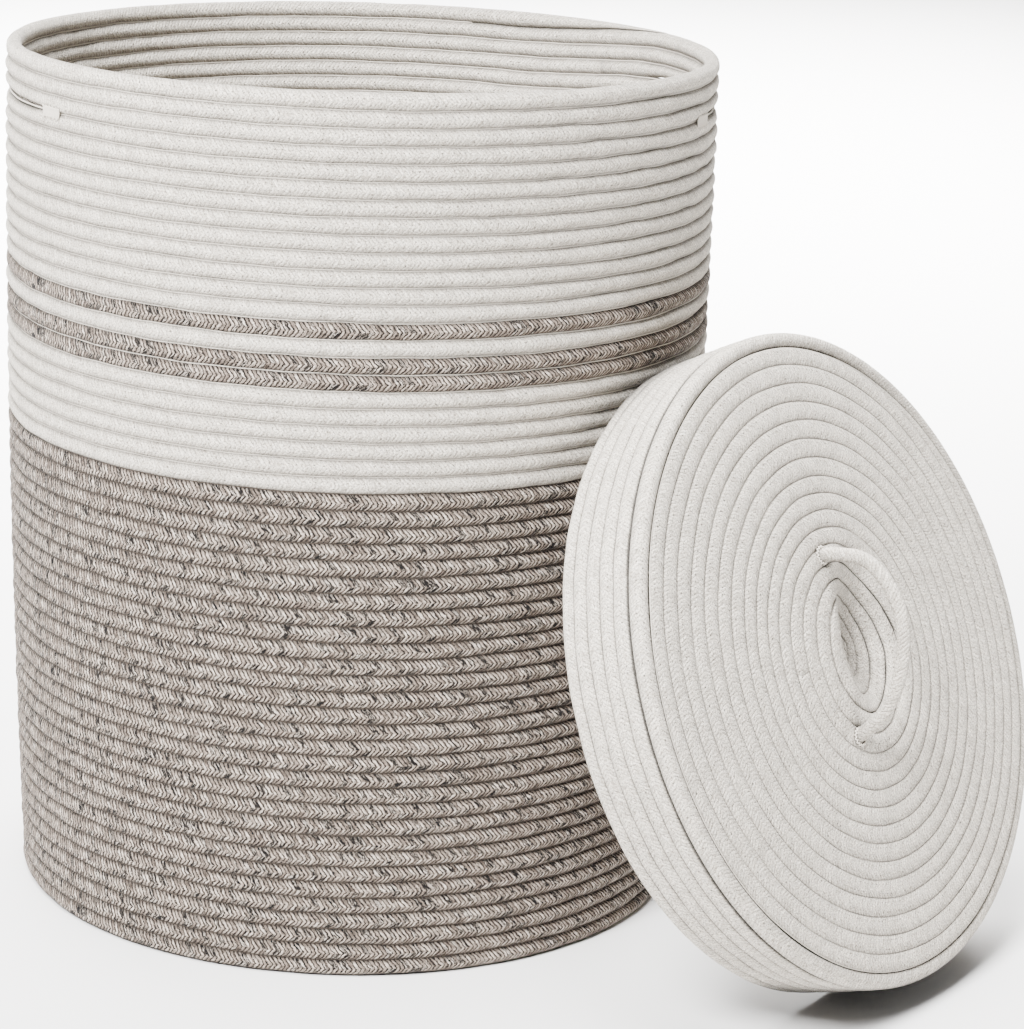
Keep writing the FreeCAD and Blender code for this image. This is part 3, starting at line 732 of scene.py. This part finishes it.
def handle_point(along, height):
    """Point on the middle of the handle's rope, in the lid's own frame."""
    x = HANDLE_MIDDLE[0] + math.sin(HANDLE_TURN) * along + HANDLE_LEAN * height
    y = HANDLE_MIDDLE[1] + math.cos(HANDLE_TURN) * along
    return x, y, LID_DEPTH + height


def make_handle():
    path = curve_through([handle_point(s, h) for s, h in HANDLE_ARCH], 14)
    ahead = unit(np.gradient(path, axis=0))
    side = np.array([math.cos(HANDLE_TURN), -math.sin(HANDLE_TURN), -HANDLE_LEAN])
    side = unit(side - ahead * (ahead @ side)[:, None])
    out = np.cross(ahead, side)
    along = length_along(path)
    size = 4.0 + 0.1 * unevenness(16)(along)
    loops = rope_loops(path, side * size[:, None], out * size[:, None], 1.0, 1.0)
    skin("lid_handle", lid_point(loops), along, "lid", "white_plain", ["lid_handle"])


def make_handle_tacks():
    """Stitches worked round both feet of the handle."""
    for index, foot in enumerate((51.0, -53.3)):
        turn = np.linspace(0, 1, 181)
        angle = 2 * math.pi * turn
        zig = np.abs((turn * FOOT_STITCHES) % 1 * 2 - 1)
        x, y, _ = handle_point(foot, 2.0)
        x = x + (4.4 + 1.1 * zig) * np.cos(angle)
        y = y + (4.4 + 1.1 * zig) * np.sin(angle)
        path = lid_point(np.stack([x, y, face_height(x, y) + 0.9 - 0.9 * zig], axis=-1))
        skin(f"lid_handle_tack_{index + 1}", thread(path, 0.4), length_along(path), "lid", "thread",
             [] if index else ["lid_handle_tacks"])


def face_height(x, y):
    """Crest of the face over a point of the lid's own frame."""
    radius = np.hypot(x, y)
    return LID_DEPTH + LID_CROWN * (1 - (radius / LID_RADIUS) ** 2) - hollow(x, y)


def make_slit_tacks():
    """Close zigzag stitching over both ends of each hand slit."""
    half = SLIT_LENGTH / 2 / (MOUTH_RADIUS - ROPE_DEPTH / 2)
    seam = ROW_PITCH * SLIT_ROW
    ends = [middle + side * (half + 8.0 / MOUTH_RADIUS) for middle in SLIT_ANGLES for side in (-1, 1)]
    for index, end in enumerate(ends, start=1):
        stroke = np.linspace(0, 1, TACK_STROKES * 10 + 1)
        zig = 1 - 2 * np.abs((stroke * TACK_STROKES) % 2 - 1)
        angle = end + (stroke - 0.5) * TACK_LENGTH / MOUTH_RADIUS
        height = seam + zig * (TACK_RISE + 0.5 * np.sin(stroke * 31))
        groove = np.clip(1 - np.abs(height - seam) / (ROW_PITCH / 2), 0, 1)
        radius = wall_crest(height) + 0.3 - np.minimum(1.2 * groove ** 2, 0.6)
        path = np.stack([radius * np.cos(angle), radius * np.sin(angle), height], axis=-1)
        skin(f"hand_slit_tack_{index}", thread(path, 0.42), length_along(path), "basket", "thread",
             [] if index > 1 else ["hand_slit_tacks"])


# --- stage -------------------------------------------------------------------------------


def make_stage():
    work = bmesh.new()
    bmesh.ops.create_grid(work, x_segments=1, y_segments=1, size=15.0)
    mesh = bpy.data.meshes.new("floor")
    work.to_mesh(mesh)
    work.free()
    mesh.materials.append(floor_material())
    floor = bpy.data.objects.new("floor", mesh)
    floor.location.z = -0.0005
    bpy.context.scene.collection.objects.link(floor)

    world = bpy.data.worlds.new("studio")
    bpy.context.scene.world = world
    world.use_nodes = True
    sky = world.node_tree.nodes["Background"].inputs
    sky["Color"].default_value = (1.0, 1.0, 1.0, 1.0)
    sky["Strength"].default_value = 0.3

    area_light("key", (-1.15, -1.9, 2.5), (0.0, 0.0, 0.25), 1.0, 470.0)
    area_light("top", (-0.2, -0.5, 2.6), (0.0, 0.0, 0.2), 1.2, 170.0)
    area_light("backdrop", (0.0, 2.9, 2.6), (0.0, 2.9, 0.0), 3.4, 1000.0, 110.0)


def area_light(name, place, target, size, power, spread=180.0):
    light = bpy.data.lights.new(name, "AREA")
    light.shape = "SQUARE"
    light.size = size
    light.energy = power
    light.spread = math.radians(spread)
    lamp = bpy.data.objects.new(name, light)
    lamp.location = place
    lamp.rotation_euler = (Vector(target) - Vector(place)).to_track_quat("-Z", "Y").to_euler()
    bpy.context.scene.collection.objects.link(lamp)


def make_camera():
    yaw, pitch, roll = 0.0667, 0.2689, 0.0354
    ahead = Vector((math.sin(yaw) * math.cos(pitch), math.cos(yaw) * math.cos(pitch), -math.sin(pitch)))
    right = Vector((math.cos(yaw), -math.sin(yaw), 0))
    above = right.cross(ahead)
    across = math.cos(roll) * right + math.sin(roll) * above
    up = math.cos(roll) * above - math.sin(roll) * right
    data = bpy.data.cameras.new("camera")
    data.lens = 114.45
    data.sensor_width = 36.0
    camera = bpy.data.objects.new("camera", data)
    turn = Matrix((across, up, -ahead)).transposed()
    camera.matrix_world = Matrix.Translation(Vector((-32.6, -1937.7, 755.6)) * MM) @ turn.to_4x4()
    bpy.context.scene.collection.objects.link(camera)
    bpy.context.scene.camera = camera


make_base()
make_wall()
make_wall_thread()
make_slit_tacks()
make_lid()
make_handle()
make_handle_tacks()
make_stage()
make_camera()
